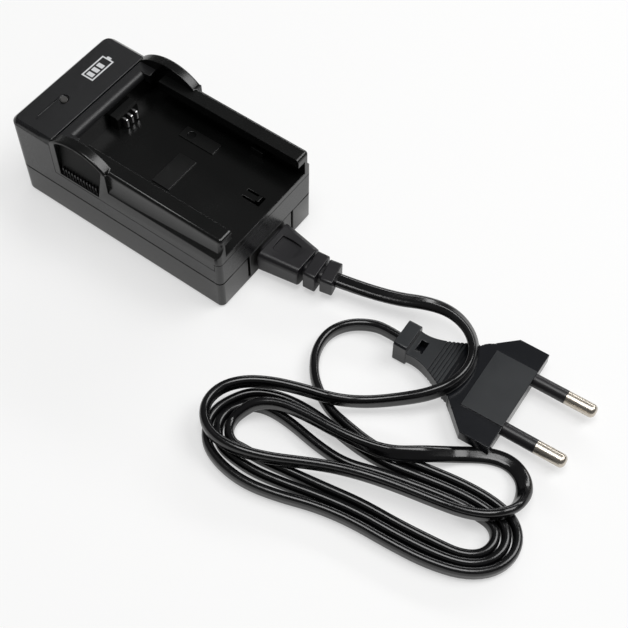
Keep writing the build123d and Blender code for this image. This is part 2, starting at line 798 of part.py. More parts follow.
with BuildPart() as plug_pins:
    with BuildSketch(Plane.YZ.offset(-shank_depth)):
        with Locations(*pin_places):
            Circle(shank_radius)
    extrude(amount=shank_depth + sleeve_length)
    with BuildSketch(Plane.YZ.offset(sleeve_length)):
        with Locations(*pin_places):
            Circle(pin_radius)
    extrude(amount=pin_length - sleeve_length)
    fillet(plug_pins.faces().group_by(Axis.X)[-1].edges(), pin_round)
save(plug_pins.part.moved(plug_pose), "plug_pins")

with BuildPart() as pin_sleeves:
    with BuildSketch(Plane.YZ):
        with Locations(*pin_places):
            Circle(pin_radius)
            Circle(shank_radius + shank_clearance, mode=Mode.SUBTRACT)
    extrude(amount=sleeve_length)
save(pin_sleeves.part.moved(plug_pose), "pin_sleeves")

# Cord route: a lead from the connector over the plug's neck into the hank, and a tail from there to the plug
lead_points = [
    lead_exit,
    tuple(Vector(*lead_exit) + relief_planes[-1].z_dir * lead_first_run),
    (80.4, 7.7, 6.4),
    (87.4, 10.5, 7.6),
    (93.7, 11.6, 8.8),
    (99.5, 10.9, 9.3),
    (104.8, 8.3, 9.3),
    (108.5, 3.9, 9.3),
    (110.0, -1.9, 9.3),
    (109.0, -8.4, 9.2),
    (105.3, -14.0, 8.0),
    (99.6, -18.8, 6.2),
    (93.0, -24.0, 5.0),
    (87.6, -27.9, 5.0),
]
tail_points = [
    (78.2, -28.6, 2.9),
    (73.6, -24.4, 2.9),
    (70.2, -18.6, 2.9),
    (69.6, -12.0, 3.0),
    (72.4, -6.4, 3.0),
    (77.4, -3.3, 3.2),
    tuple((plug_pose * Pos(flange_back - tail_run_in, 0, 0)).position),
    tuple((plug_pose * Pos(flange_back, 0, 0)).position),
]


def cord_tube(name, points):
    """A plain round tube along straight runs joined by the largest arcs that the runs allow."""
    spots = [Vector(*point) for point in points]
    runs = [b - a for a, b in zip(spots, spots[1:])]
    radii = []
    for before, after in zip(runs, runs[1:]):
        half_turn = radians(before.get_angle(after)) / 2
        radii.append(bend_share * min(before.length, after.length) / tan(half_turn))
    with BuildPart() as tube:
        with BuildLine() as path:
            FilletPolyline(*spots, radius=radii)
        with BuildSketch(Plane(origin=spots[0], z_dir=runs[0])):
            Circle(cord_radius)
        sweep(path=path.wires()[0])
    save(tube.part, name)
    length = path.wires()[0].length
    share = tube.part.volume / (length * pi * cord_radius**2)
    bends = [round(radius, 1) for radius in radii]
    print(name, "length", round(length, 1), "volume share", round(share, 4), "radii", bends)


cord_tube("cord_lead", lead_points)
cord_tube("cord_tail", tail_points)

# Hank: the outer shape of the loose turns, with flat facets where the lead goes in and the tail comes out
lead_run = Vector(*lead_points[-2]) - Vector(*lead_points[-1])
tail_run = Vector(*tail_points[1]) - Vector(*tail_points[0])


def facet(point, run, reach):
    """Two corners of the hank's outline, square across the cord at its end."""
    turn = atan2(run.Y, run.X)
    side = (-sin(turn) * reach, cos(turn) * reach)
    return [(point[0] - side[0], point[1] - side[1]), (point[0] + side[0], point[1] + side[1])]


hank_outline = [
    *facet(lead_points[-1], lead_run, cord_width / 2),
    *facet(tail_points[0], tail_run, cord_width / 2),
    (65.5, -35.5),
    (57.0, -43.0),
    (55.5, -53.0),
    (60.5, -61.5),
    (70.0, -65.0),
    (84.0, -64.0),
    (102.0, -58.2),
    (124.0, -56.0),
    (140.0, -52.5),
    (149.0, -44.0),
    (149.0, -35.0),
    (144.0, -28.0),
    (144.5, -19.5),
    (138.0, -13.6),
    (132.5, -14.6),
    (129.0, -20.4),
    (116.0, -23.6),
    (104.0, -32.0),
    (95.0, -32.5),
]
hank_facets = 4
hank_openings = [
    ((117.0, -46.0), 42.0, 5.0, 10.0),
    ((79.0, -48.5), 24.0, 6.0, 14.0),
    ((125.5, -25.5), 26.0, 6.5, 17.0),
]
with BuildPart() as cord_hank:
    with BuildSketch(Plane.XY.offset(hank_low)) as hank_plan:
        with BuildLine():
            Polyline(*hank_outline, close=True)
        make_face()
        corners = [Vector(*point, hank_low) for point in hank_outline[hank_facets:]]
        plan_corners = hank_plan.vertices()
        rounded = [v for v in plan_corners if min((Vector(v) - c).length for c in corners) < fit]
        fillet(rounded, hank_round)
        for middle, length, width, turn in hank_openings:
            with Locations(middle):
                SlotOverall(length, width, rotation=turn, mode=Mode.SUBTRACT)
    extrude(amount=hank_height)
save(cord_hank.part, "cord_hank")
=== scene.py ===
"""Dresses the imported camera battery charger, lays its cord and sets a small pale studio round it."""

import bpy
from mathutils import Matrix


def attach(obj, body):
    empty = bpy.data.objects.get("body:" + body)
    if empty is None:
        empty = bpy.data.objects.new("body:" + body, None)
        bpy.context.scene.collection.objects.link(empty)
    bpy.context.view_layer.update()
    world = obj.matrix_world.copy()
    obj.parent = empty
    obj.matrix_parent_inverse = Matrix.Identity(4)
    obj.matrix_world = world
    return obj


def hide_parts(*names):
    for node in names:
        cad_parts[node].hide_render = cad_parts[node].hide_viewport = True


bl_info = {
    "name": "Camera Battery Charger",
    "version": (1, 0, 0),
    "blender": (4, 5, 0),
    "location": "View3D > Sidebar > Charger",
    "description": "Rounds and finishes the charger's mouldings, lays its flat cord and lights the set",
    "category": "Object",
}

from math import cos, exp, pi, radians, sin

import bmesh
import bpy
from bpy.props import FloatProperty, FloatVectorProperty, IntProperty, PointerProperty
from mathutils import Matrix, Vector

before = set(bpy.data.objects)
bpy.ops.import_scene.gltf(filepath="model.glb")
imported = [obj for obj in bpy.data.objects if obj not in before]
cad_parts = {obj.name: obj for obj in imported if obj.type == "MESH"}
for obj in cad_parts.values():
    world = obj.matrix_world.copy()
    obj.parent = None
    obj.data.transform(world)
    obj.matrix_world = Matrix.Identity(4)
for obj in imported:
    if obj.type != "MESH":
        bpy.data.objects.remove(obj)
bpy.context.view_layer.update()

MM = 0.001
WHITE = (1, 1, 1, 1)

# Sockets of a Mix node that mixes colours
MIX_FIRST = 6
MIX_SECOND = 7
MIX_RESULT = 2

# Clean-up of a CAD mesh and the rounding of its edges
WELD = 1e-6
FLAT_ANGLE = radians(0.5)
SHARP_ANGLE = radians(50)
ROOM_TO_ROUND = 2.0
ROUND_SEGMENTS = 3
BROAD_FACE = 20 * MM * MM
FLATTEN_ROUNDS = 20
FLATTEN_SHARE = 0.5
SMOOTH_ANGLE = radians(32)

# Sizes of the patterns in the finishes
MOTTLE_SIZE = 14 * MM
DUST_SIZE = 0.55 * MM
SCRATCH_SIZE = 0.12 * MM
TARNISH_SIZE = 2.5 * MM
RIPPLE_SIZE = 1.6 * MM
HAZE_SIZE = 9 * MM
WEAVE_SIZE = 0.6 * MM
COAT_CLOUD_SIZE = 6 * MM
LENS_CLOUD_SIZE = 1.2 * MM
FIBRE_SIZE = 3 * MM

# Levels of noise between which each pattern comes in
DUST_LEVELS = (0.72, 0.8)
DUST_PATCHES = (0.45, 0.7)
TARNISH_LEVELS = (0.5, 0.75)
HAZE_LEVELS = (0.4, 0.7)

# Strength of each pattern, and how much lighter or darker it makes the colour
MOTTLE_DARK = 0.8
MOTTLE_LIGHT = 1.2
DUST_SHARE = 0.25
DUST_SHADE = 4.0
TARNISH_SHARE = 0.6
TARNISH_SHADE = 0.55
HAZE_SHADE = 1.7
WEAVE_SHARE = 0.15
WEAVE_SHADE = 1.6
LENS_DARK = 0.85
LENS_LIGHT = 1.1
FIBRE_SHARE = 0.06
FIBRE_SHADE = 0.9

# Depths of the bumps in the finishes that aren't moulded
SCRATCH_DEPTH = 0.003 * MM
RIPPLE_DEPTH = 0.02 * MM
WEAVE_DEPTH = 0.01 * MM

# Colours of the metal parts, the lens and what is inside the case
CONTACT_COLOUR = (0.5, 0.5, 0.5)
PIN_COLOUR = (0.58, 0.53, 0.46)
TERMINAL_COLOUR = (0.62, 0.58, 0.5)
SCREW_COLOUR = (0.5, 0.5, 0.5)
GUIDE_COLOUR = (0.07, 0.068, 0.066)
LAMP_COLOUR = (0.55, 0.06, 0.04)
BOARD_COLOUR = (0.02, 0.11, 0.03)
FERRITE_COLOUR = (0.03, 0.03, 0.032)
TAPE_COLOUR = (0.55, 0.38, 0.03)
SLEEVE_COLOUR = (0.015, 0.02, 0.045)
COMPONENT_COLOUR = (0.012, 0.012, 0.012)

# Battery sign on the cap, in millimetres: middle, half sizes of outline, stud and bars, line, soft edge
MARK_PLACE = (-31.2, 8.6)
MARK_HALF = (2.0, 4.6)
MARK_LINE = 0.5
MARK_STUD = (0.8, 0.5)
MARK_BAR = (1.2, 0.75)
MARK_BARS = (-3.1, -0.9, 1.3)
MARK_SOFT = 0.06

# Tops of mouldings: how far they face up, and the lowest height of the cap's grained top in millimetres
FACING_UP = 0.9
CROWN_LEVEL = 30.3

# Scooped grips under the ears, in millimetres: along the case, depth from the middle, and height
SCOOP_ALONG = (-20.9, -3.0)
SCOOP_ACROSS = (19.3, 20.95)
SCOOP_UP = (18.6, 36.0)
SCOOP_FACING = 0.5

# Etched crown of the cradle's cross-bar, painted in the upper case's lighter colour as a painted sheen, in
# millimetres: along the case, half its width, lowest height
BAR_ALONG = (-23.3, -18.5)
BAR_HALF = 17.0
BAR_LEVEL = 29.0

# Heights between which the tops of the pads on the bay floor lie, in millimetres
PAD_LEVELS = (22.85, 23.05)

# Satin parts of the plug, whose upward tops are painted lighter as a painted sheen, in millimetres: levels
# of its panel and of the neck's ribs, and the neck's end
PANEL_LEVEL = 7.1
NECK_LEVEL = 6.3
NECK_END = 105.0

# Form of the flat cord's section: how full its edges are, and how wide the groove between its cores is
SECTION_FULLNESS = 0.72
GROOVE_WIDTH = 0.22

# Spline of the cord: its order, and how many points it has for each control point
SPLINE_ORDER = 3
SPLINE_STEPS = 5

# Studio lamps, in metres: where each hangs, the sides of its rectangle, and the spot at which all are aimed
LAMPS = {
    "key": ((0.6, 0.55, 1.15), (0.7, 0.7)),
    "back": ((-0.3, 1.7, 0.85), (2.4, 0.24)),
    "top": ((0.1, -0.12, 1.3), (0.6, 0.6)),
}
LAMP_AIM = Vector((0.05, -0.02, 0.0))

# Camera: width of its sensor in millimetres, and the nearest that it sees in metres
SENSOR_WIDTH = 36.0
NEAREST_SEEN = 0.01


def length_setting(name, description, metres):
    """A length."""
    return FloatProperty(name=name, description=description, default=metres, unit="LENGTH")


def colour_setting(name, description, colour):
    """A colour in linear light."""
    return FloatVectorProperty(name=name, description=description, default=colour, subtype="COLOR")


def share_setting(name, description, share):
    """A share of a whole."""
    return FloatProperty(name=name, description=description, default=share, subtype="FACTOR")


def angle_setting(name, description, degrees):
    """An angle."""
    return FloatProperty(name=name, description=description, default=radians(degrees), subtype="ANGLE")


def power_setting(name, description, watts):
    """The power of a lamp."""
    return FloatProperty(name=name, description=description, default=watts, unit="POWER")


class CaseSettings(bpy.types.PropertyGroup):
    """Sizes and colours of the charger's mouldings."""

    edge_round: length_setting("Edge Round", "Radius on the mouldings' outer edges", 0.3 * MM)
    fine_round: length_setting("Fine Round", "Radius on small ribs and blocks", 0.15 * MM)
    grain: length_setting("Grain", "Size of the spark-eroded grain", 0.28 * MM)
    top_colour: colour_setting("Upper Case", "Colour of the upper case", (0.0068, 0.007, 0.0078))
    base_colour: colour_setting("Lower Case", "Colour of the lower tray", (0.0085, 0.0082, 0.0078))
    cradle_colour: colour_setting("Cradle", "Colour of the battery cradle", (0.0016, 0.0018, 0.0017))
    print_colour: colour_setting("Print", "Colour of the mark on the cap", (0.62, 0.63, 0.64))


class CordSettings(bpy.types.PropertyGroup):
    """Section and finish of the flat cord."""

    width: length_setting("Width", "Width of the flat cord", 4.6 * MM)
    thickness: length_setting("Thickness", "Thickness of the flat cord", 2.8 * MM)
    groove: share_setting("Groove", "Share of the thickness lost between the two cores", 0.1)
    length: length_setting("Length", "Length of the cord", 0.9)
    sides: IntProperty(name="Sides", description="Points round the cord's section", default=24)
    colour: colour_setting("Jacket", "Colour of the cord's jacket", (0.0028, 0.0028, 0.0032))


class PlugSettings(bpy.types.PropertyGroup):
    """Finish of the plug and the connector."""

    edge_round: length_setting("Edge Round", "Radius on the plug's outer edges", 0.2 * MM)
    colour: colour_setting("Plug", "Colour of the plug's moulding", (0.008, 0.0088, 0.0108))
    # The satin colour is lighter than the plug's own colour: a painted sheen on the panel and on the ribs'
    # tops.
    satin_and_sheen_colour: colour_setting("Satin", "Colour of the plug's panel and neck", (0.014, 0.016, 0.018))
    connector_colour: colour_setting("Connector", "Colour of the connector", (0.0085, 0.008, 0.0095))


class StageSettings(bpy.types.PropertyGroup):
    """Camera, lamps and floor."""

    camera_place: FloatVectorProperty(
        name="Camera Place",
        description="Where the camera stands",
        subtype="TRANSLATION",
        unit="LENGTH",
        default=(0.173008, -0.165550, 0.300498),
        precision=4,
    )
    azimuth: angle_setting("Azimuth", "Turn of the view", 35.197)
    elevation: angle_setting("Elevation", "Height of the view", 57.226)
    roll: angle_setting("Roll", "Tilt of the view", 1.0775)
    lens: FloatProperty(name="Lens", description="Focal length in millimetres", default=69.97)
    floor_size: length_setting("Floor", "Width of the floor", 40.0)
    floor_colour: colour_setting("Floor Colour", "Colour of the floor", (0.94, 0.94, 0.935))
    floor_glow: share_setting("Floor Glow", "Share of the floor that shows as plain white", 0.5)
    mirrored_glow: share_setting("Mirrored Glow", "Share of that white in reflections", 0.4)
    key_power: power_setting("Key", "Power of the key lamp", 8.5)
    back_power: power_setting("Back", "Power of the strip behind", 12.0)
    top_power: power_setting("Top", "Power of the lamp overhead", 7.5)
    sky: FloatProperty(name="Sky", description="Strength of the even light all round", default=0.13)
    sky_seen: FloatProperty(name="Sky Seen", description="Strength of the sky in the picture", default=0.6)


class Wire:
    """A shader socket that takes part in sums, each of which adds a Math node."""

    def __init__(self, tree, socket):
        self.tree = tree
        self.socket = socket

    def sum(self, operation, first, second):
        node = self.tree.nodes.new("ShaderNodeMath")
        node.operation = operation
        join(self.tree, node.inputs[0], first)
        join(self.tree, node.inputs[1], second)
        return Wire(self.tree, node.outputs[0])

    def __add__(self, other):
        return self.sum("ADD", self, other)

    def __radd__(self, other):
        return self.sum("ADD", other, self)

    def __sub__(self, other):
        return self.sum("SUBTRACT", self, other)

    def __rsub__(self, other):
        return self.sum("SUBTRACT", other, self)

    def __mul__(self, other):
        return self.sum("MULTIPLY", self, other)

    def __rmul__(self, other):
        return self.sum("MULTIPLY", other, self)

    def __abs__(self):
        return self.sum("ABSOLUTE", self, 0.0)

    def least(self, other):
        return self.sum("MINIMUM", self, other)

    def most(self, other):
        return self.sum("MAXIMUM", self, other)


def join(tree, socket, value):
    """Links a wire to a socket, or sets the socket's own value."""
    if isinstance(value, Wire):
        tree.links.new(value.socket, socket)
    else:
        socket.default_value = value


class Nodes:
    """A shader tree that starts empty. Every node but the Math nodes is added by one method."""

    def __init__(self, owner):
        owner.use_nodes = True
        self.tree = owner.node_tree
        self.tree.nodes.clear()

    def add(self, kind, settings=None, sockets=None, output=0):
        """Adds one node, its settings first and then its sockets, and gives one of its outputs."""
        node = self.tree.nodes.new("ShaderNode" + kind)
        for key, value in (settings or {}).items():
            setattr(node, key, value)
        for key, value in (sockets or {}).items():
            join(self.tree, node.inputs[key], value)
        return Wire(self.tree, node.outputs[output]) if node.outputs else None

    def rays(self, kind):
        """One for rays of a kind, such as those from the camera, and nought for others."""
        return self.add("LightPath", output=f"Is {kind} Ray")


class Finish(Nodes):
    """The nodes of one material."""

    def __init__(self, name):
        self.material = bpy.data.materials.new(name)
        super().__init__(self.material)

    def place(self):
        """The piece's own coordinates, in metres."""
        return self.add("TexCoord", output="Object")

    def part(self, vector, axis):
        """One part of a vector."""
        return self.add("SeparateXYZ", None, {"Vector": vector}, axis)

    def noise(self, place, size, detail=2.0):
        """Soft noise whose lumps are about one size across."""
        return self.add("TexNoise", None, {"Vector": place, "Scale": 1 / size, "Detail": detail})

    def ramp(self, factor, low, high):
        """A smooth step of a value between two levels."""
        settings = {"interpolation_type": "SMOOTHSTEP"}
        return self.add("MapRange", settings, {"Value": factor, "From Min": low, "From Max": high})

    def mix(self, factor, first, second):
        """A colour between two colours."""
        sockets = {"Factor": factor, MIX_FIRST: opaque(first), MIX_SECOND: opaque(second)}
        return self.add("Mix", {"data_type": "RGBA"}, sockets, MIX_RESULT)

    def bump(self, height, depth):
        """A normal that shows a height, in metres."""
        return self.add("Bump", None, {"Height": height, "Distance": depth})

    def surface(self, sockets):
        """The shader of a plain surface."""
        return self.add("BsdfPrincipled", None, sockets)

    def finish(self, surface):
        """Ends the tree in a surface and gives the material."""
        self.add("OutputMaterial", None, {"Surface": surface})
        return self.material


def opaque(colour):
    """A colour with its alpha. A wire stays as it is."""
    return colour if isinstance(colour, Wire) else (*colour, 1)


def shade(colour, share):
    """A colour made lighter or darker."""
    return tuple(channel * share for channel in colour)


def moulded(name, colour, grain, depth, rough, specular=0.5, mark=None):
    """Moulded plastic: fine eroded grain, faint mottling, a little dust and perhaps a printed mark."""
    make = Finish(name)
    place = make.place()
    speckle = make.noise(place, grain, detail=3.0)
    cloud = make.noise(place, MOTTLE_SIZE, detail=3.0)
    specks = make.ramp(make.noise(place, DUST_SIZE, detail=1.0), *DUST_LEVELS)
    dust = specks * make.ramp(cloud, *DUST_PATCHES)
    base = make.mix(cloud, shade(colour, MOTTLE_DARK), shade(colour, MOTTLE_LIGHT))
    base = make.mix(dust * DUST_SHARE, base, shade(colour, DUST_SHADE))
    if mark:
        base = make.mix(battery_mark(make, place), base, mark)
    surface = make.surface(
        {
            "Base Color": base,
            "Roughness": rough - 0.05 + speckle * 0.1 + (cloud - 0.5) * 0.1,
            "Specular IOR Level": specular,
            "Normal": make.bump(speckle, depth),
        }
    )
    return make.finish(surface)


def battery_mark(make, place):
    """Where a small battery sign is printed on the cap: an outline with a stud and bars of charge."""
    along = make.part(place, "X")
    across = make.part(place, "Y")

    def box(x, y, half_x, half_y):
        return (abs(along - x * MM) - half_x * MM).most(abs(across - y * MM) - half_y * MM)

    x, y = MARK_PLACE
    sign = abs(box(x, y, *MARK_HALF)) - MARK_LINE * MM / 2
    sign = sign.least(box(x, y + MARK_HALF[1] + MARK_LINE, *MARK_STUD))
    for bar in MARK_BARS:
        sign = sign.least(box(x, y + bar, *MARK_BAR))
    return make.ramp(sign, MARK_SOFT * MM, -MARK_SOFT * MM)


def plated(name, colour, rough):
    """Plated metal with fine scratches along the pin."""
    make = Finish(name)
    place = make.place()
    drawn = make.add("Mapping", None, {"Vector": place, "Scale": (0.05, 1.0, 1.0)})
    scratch = make.noise(drawn, SCRATCH_SIZE)
    tarnish = make.ramp(make.noise(place, TARNISH_SIZE, detail=3.0), *TARNISH_LEVELS)
    surface = make.surface(
        {
            "Base Color": make.mix(tarnish * TARNISH_SHARE, colour, shade(colour, TARNISH_SHADE)),
            "Metallic": 1.0,
            "Roughness": rough + scratch * 0.15 + tarnish * 0.1,
            "Normal": make.bump(scratch, SCRATCH_DEPTH),
        }
    )
    return make.finish(surface)


def jacket(name, colour):
    """Soft cord jacket: smooth and slightly glossy, with a faint drawn ripple and worn patches."""
    make = Finish(name)
    place = make.place()
    ripple = make.noise(place, RIPPLE_SIZE)
    haze = make.ramp(make.noise(place, HAZE_SIZE, detail=3.0), *HAZE_LEVELS)
    surface = make.surface(
        {
            "Base Color": make.mix(haze, colour, shade(colour, HAZE_SHADE)),
            "Roughness": 0.13 + ripple * 0.06 + haze * 0.06,
            "Specular IOR Level": 0.55,
            "Normal": make.bump(ripple, RIPPLE_DEPTH),
        }
    )
    return make.finish(surface)


def laminate(name, colour):
    """Coated circuit board with a faint weave under the coat."""
    make = Finish(name)
    place = make.place()
    weave = make.add("TexChecker", None, {"Vector": place, "Scale": 1 / WEAVE_SIZE}, output=1)
    cloud = make.noise(place, COAT_CLOUD_SIZE)
    base = make.mix(cloud, shade(colour, MOTTLE_DARK), shade(colour, MOTTLE_LIGHT))
    surface = make.surface(
        {
            "Base Color": make.mix(weave * WEAVE_SHARE, base, shade(colour, WEAVE_SHADE)),
            "Roughness": 0.3 + cloud * 0.15,
            "Normal": make.bump(weave, WEAVE_DEPTH),
        }
    )
    return make.finish(surface)


def clear_lens(name, colour):
    """Smoked plastic with a glossy coat."""
    make = Finish(name)
    cloud = make.noise(make.place(), LENS_CLOUD_SIZE)
    surface = make.surface(
        {
            "Base Color": make.mix(cloud, shade(colour, LENS_DARK), shade(colour, LENS_LIGHT)),
            "Roughness": 0.12 + cloud * 0.08,
            "Coat Weight": 0.4,
        }
    )
    return make.finish(surface)


def set_material(piece, material):
    """Gives a piece one material."""
    piece.data.materials.clear()
    piece.data.materials.append(material)


def new_piece(name, shape, material):
    """Makes an object of a bmesh, which rides on the charger."""
    mesh = bpy.data.meshes.new(name)
    shape.to_mesh(mesh)
    shape.free()
    mesh.polygons.foreach_set("use_smooth", [True] * len(mesh.polygons))
    mesh.set_sharp_from_angle(angle=SMOOTH_ANGLE)
    piece = bpy.data.objects.new(name, mesh)
    bpy.context.scene.collection.objects.link(piece)
    set_material(piece, material)
    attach(piece, "root")
    return piece


def roundable(edge, width):
    """Whether an edge is sharp and juts out, between two faces that are wide enough to round it."""
    if not edge.is_manifold or not edge.is_convex or edge.calc_face_angle() < SHARP_ANGLE:
        return False
    room = ROOM_TO_ROUND * width * edge.calc_length()
    return all(face.calc_area() > room for face in edge.link_faces)


def rounded(node, width, material):
    """A copy of a CAD node with its outer edges rounded, which stands for the node."""
    shape = bmesh.new()
    shape.from_mesh(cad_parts[node].data)
    bmesh.ops.remove_doubles(shape, verts=shape.verts, dist=WELD)
    bmesh.ops.dissolve_limit(
        shape, angle_limit=FLAT_ANGLE, use_dissolve_boundaries=False, verts=shape.verts, edges=shape.edges
    )
    bmesh.ops.bevel(
        shape,
        geom=[edge for edge in shape.edges if roundable(edge, width)],
        offset=width,
        segments=ROUND_SEGMENTS,
        profile=0.5,
        affect="EDGES",
        material=-1,
        clamp_overlap=False,
    )
    broad = [face for face in shape.faces if len(face.verts) > 4 and face.calc_area() > BROAD_FACE]
    bmesh.ops.planar_faces(shape, faces=broad, iterations=FLATTEN_ROUNDS, factor=FLATTEN_SHARE)
    piece = new_piece(node + "_rounded", shape, material)
    normals = piece.modifiers.new("Flat Faces", "WEIGHTED_NORMAL")
    normals.keep_sharp = True
    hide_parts(node)
    return piece


def dress(nodes, material):
    """Gives CAD nodes that stay as they are their material."""
    for node in nodes:
        set_material(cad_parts[node], material)


def refinish(piece, chosen, material):
    """Gives the chosen faces of a piece a further material."""
    piece.data.materials.append(material)
    last = len(piece.data.materials) - 1
    for face in piece.data.polygons:
        if chosen(face):
            face.material_index = last


def on_crown(face):
    """Whether a face is part of the cap's grained top."""
    return face.normal.z > FACING_UP and face.center.z > CROWN_LEVEL * MM


class CHARGER_OT_round_case(bpy.types.Operator):
    """Round and finish the lower tray and the upper case"""

    bl_idname = "charger.round_case"
    bl_label = "Case"

    def execute(self, context):
        case = context.scene.charger_case
        base = moulded("base_moulding", case.base_colour, case.grain, depth=0.008 * MM, rough=0.17)
        walls = moulded("upper_moulding", case.top_colour, case.grain, depth=0.012 * MM, rough=0.28)
        crown = moulded(
            "crown_moulding",
            case.top_colour,
            case.grain,
            depth=0.04 * MM,
            rough=0.42,
            mark=case.print_colour,
        )
        rounded("base_shell", case.edge_round, base)
        upper = rounded("upper_shell", case.edge_round, walls)
        refinish(upper, on_crown, crown)
        return {"FINISHED"}


def in_scoop(face):
    """Whether a face of the cradle is the sunk back of a grip."""
    along, across, up = face.center / MM
    inside = SCOOP_ALONG[0] < along < SCOOP_ALONG[1] and SCOOP_ACROSS[0] < abs(across) < SCOOP_ACROSS[1]
    return inside and SCOOP_UP[0] < up < SCOOP_UP[1] and abs(face.normal.y) > SCOOP_FACING


def on_bar(face):
    """Whether a face of the cradle is part of the cross-bar's crown, which carries the painted sheen."""
    along, across, up = face.center / MM
    return BAR_ALONG[0] < along < BAR_ALONG[1] and abs(across) < BAR_HALF and up > BAR_LEVEL


def on_pad(face):
    """Whether a face of the cradle is the top of a pad on the bay floor."""
    return face.normal.z > FACING_UP and PAD_LEVELS[0] < face.center.z / MM < PAD_LEVELS[1]


class CHARGER_OT_round_cradle(bpy.types.Operator):
    """Round and finish the battery cradle and the block that holds its contacts"""

    bl_idname = "charger.round_cradle"
    bl_label = "Cradle"

    def execute(self, context):
        case = context.scene.charger_case
        satin = moulded("cradle_moulding", case.cradle_colour, case.grain, depth=0.01 * MM, rough=0.25)
        dull = moulded(
            "scoop_moulding",
            case.cradle_colour,
            case.grain,
            depth=0.05 * MM,
            rough=0.6,
            specular=0.2,
        )
        # The bar's crown is rougher, and takes the upper case's lighter colour instead of the cradle's as a
        # painted sheen.
        etched_and_sheen = moulded("bar_moulding_and_sheen", case.top_colour, case.grain, depth=0.03 * MM, rough=0.4)
        matt = moulded("pad_moulding", case.cradle_colour, case.grain, depth=0.03 * MM, rough=0.33)
        cradle = rounded("battery_cradle", case.fine_round, satin)
        refinish(cradle, in_scoop, dull)
        refinish(cradle, on_bar, etched_and_sheen)
        refinish(cradle, on_pad, matt)
        rounded("contact_holder", case.fine_round, dull)
        return {"FINISHED"}


class CHARGER_OT_finish_metal(bpy.types.Operator):
    """Finish the contacts, pins and screws"""

    bl_idname = "charger.finish_metal"
    bl_label = "Metal Parts"

    def execute(self, context):
        dress(["battery_contacts", "contact_leads"], plated("contact_plating", CONTACT_COLOUR, rough=0.24))
        dress(["plug_pins"], plated("pin_plating", PIN_COLOUR, rough=0.2))
        dress(["inlet_pins", "connector_contacts"], plated("terminal_plating", TERMINAL_COLOUR, rough=0.3))
        dress(["case_screws"], plated("screw_zinc", SCREW_COLOUR, rough=0.35))
        return {"FINISHED"}


class CHARGER_OT_finish_lamp(bpy.types.Operator):
    """Finish the status lamp and its light guide"""

    bl_idname = "charger.finish_lamp"
    bl_label = "Status Lamp"

    def execute(self, context):
        dress(["light_guide"], clear_lens("guide_clear", GUIDE_COLOUR))
        dress(["status_lamp"], clear_lens("lamp_tint", LAMP_COLOUR))
        return {"FINISHED"}


class CHARGER_OT_finish_board(bpy.types.Operator):
    """Finish the circuit board and what stands on it"""

    bl_idname = "charger.finish_board"
    bl_label = "Circuit Board"

    def execute(self, context):
        grain = context.scene.charger_case.grain
        ferrite = moulded("ferrite_grey", FERRITE_COLOUR, grain, depth=0.04 * MM, rough=0.6)
        tape = moulded("winding_tape", TAPE_COLOUR, grain, depth=0.02 * MM, rough=0.4)
        small = moulded("component_black", COMPONENT_COLOUR, grain, depth=0.03 * MM, rough=0.5)
        dress(["circuit_board"], laminate("board_coat", BOARD_COLOUR))
        dress(["transformer_core"], ferrite)
        dress(["transformer_winding"], tape)
        dress(["input_capacitor", "output_capacitor", "choke"], jacket("can_sleeve", SLEEVE_COLOUR))
        dress(["rectifier", "switching_transistor", "control_chip", "fuse"], small)
        return {"FINISHED"}


class CHARGER_OT_round_connector(bpy.types.Operator):
    """Round and finish the mains inlet and the connector in it"""

    bl_idname = "charger.round_connector"
    bl_label = "Inlet and Connector"

    def execute(self, context):
        case = context.scene.charger_case
        plug = context.scene.charger_plug
        soft = moulded("connector_moulding", plug.connector_colour, case.grain, depth=0.015 * MM, rough=0.36)
        hard = moulded("inlet_moulding", case.base_colour, case.grain, depth=0.012 * MM, rough=0.3)
        rounded("cord_connector", case.edge_round, soft)
        rounded("inlet_socket", case.fine_round, hard)
        return {"FINISHED"}


def on_panel(face):
    """Whether a face of the plug is its raised panel or the top of a rib on its neck, which carries the
    painted sheen.
    """
    level = NECK_LEVEL if face.center.x < NECK_END * MM else PANEL_LEVEL
    return face.normal.z > FACING_UP and face.center.z > level * MM


class CHARGER_OT_round_plug(bpy.types.Operator):
    """Round and finish the flat plug and the sleeves on its pins"""

    bl_idname = "charger.round_plug"
    bl_label = "Plug"

    def execute(self, context):
        case = context.scene.charger_case
        plug = context.scene.charger_plug
        soft = moulded("plug_moulding", plug.colour, case.grain, depth=0.01 * MM, rough=0.18)
        # The satin material is rougher and also carries the painted sheen: a lighter colour on the tops of
        # the panel and ribs.
        satin = moulded("plug_satin_and_sheen", plug.satin_and_sheen_colour, case.grain, depth=0.02 * MM, rough=0.38)
        sleeve = moulded("sleeve_moulding", plug.connector_colour, case.grain, depth=0.01 * MM, rough=0.35)
        body = rounded("mains_plug", plug.edge_round, soft)
        refinish(body, on_panel, satin)
        dress(["pin_sleeves"], sleeve)
        return {"FINISHED"}


# Cord's control points in millimetres: lead from the connector, over the plug's neck, down to the hank
LEAD_ROUTE = [
    (62.07, 3.10, 5.8),
    (69.9, 4.76, 5.8),
    (80.4, 7.7, 6.4),
    (87.4, 10.5, 7.6),
    (93.7, 11.6, 8.8),
    (99.5, 10.9, 9.3),
    (104.8, 8.3, 9.3),
    (108.5, 3.9, 9.3),
    (110.0, -1.9, 9.3),
    (109.0, -8.4, 9.2),
    (105.3, -14.0, 8.0),
    (99.6, -18.8, 6.2),
    (93.0, -24.0, 5.0),
    (87.6, -27.9, 5.4),
]

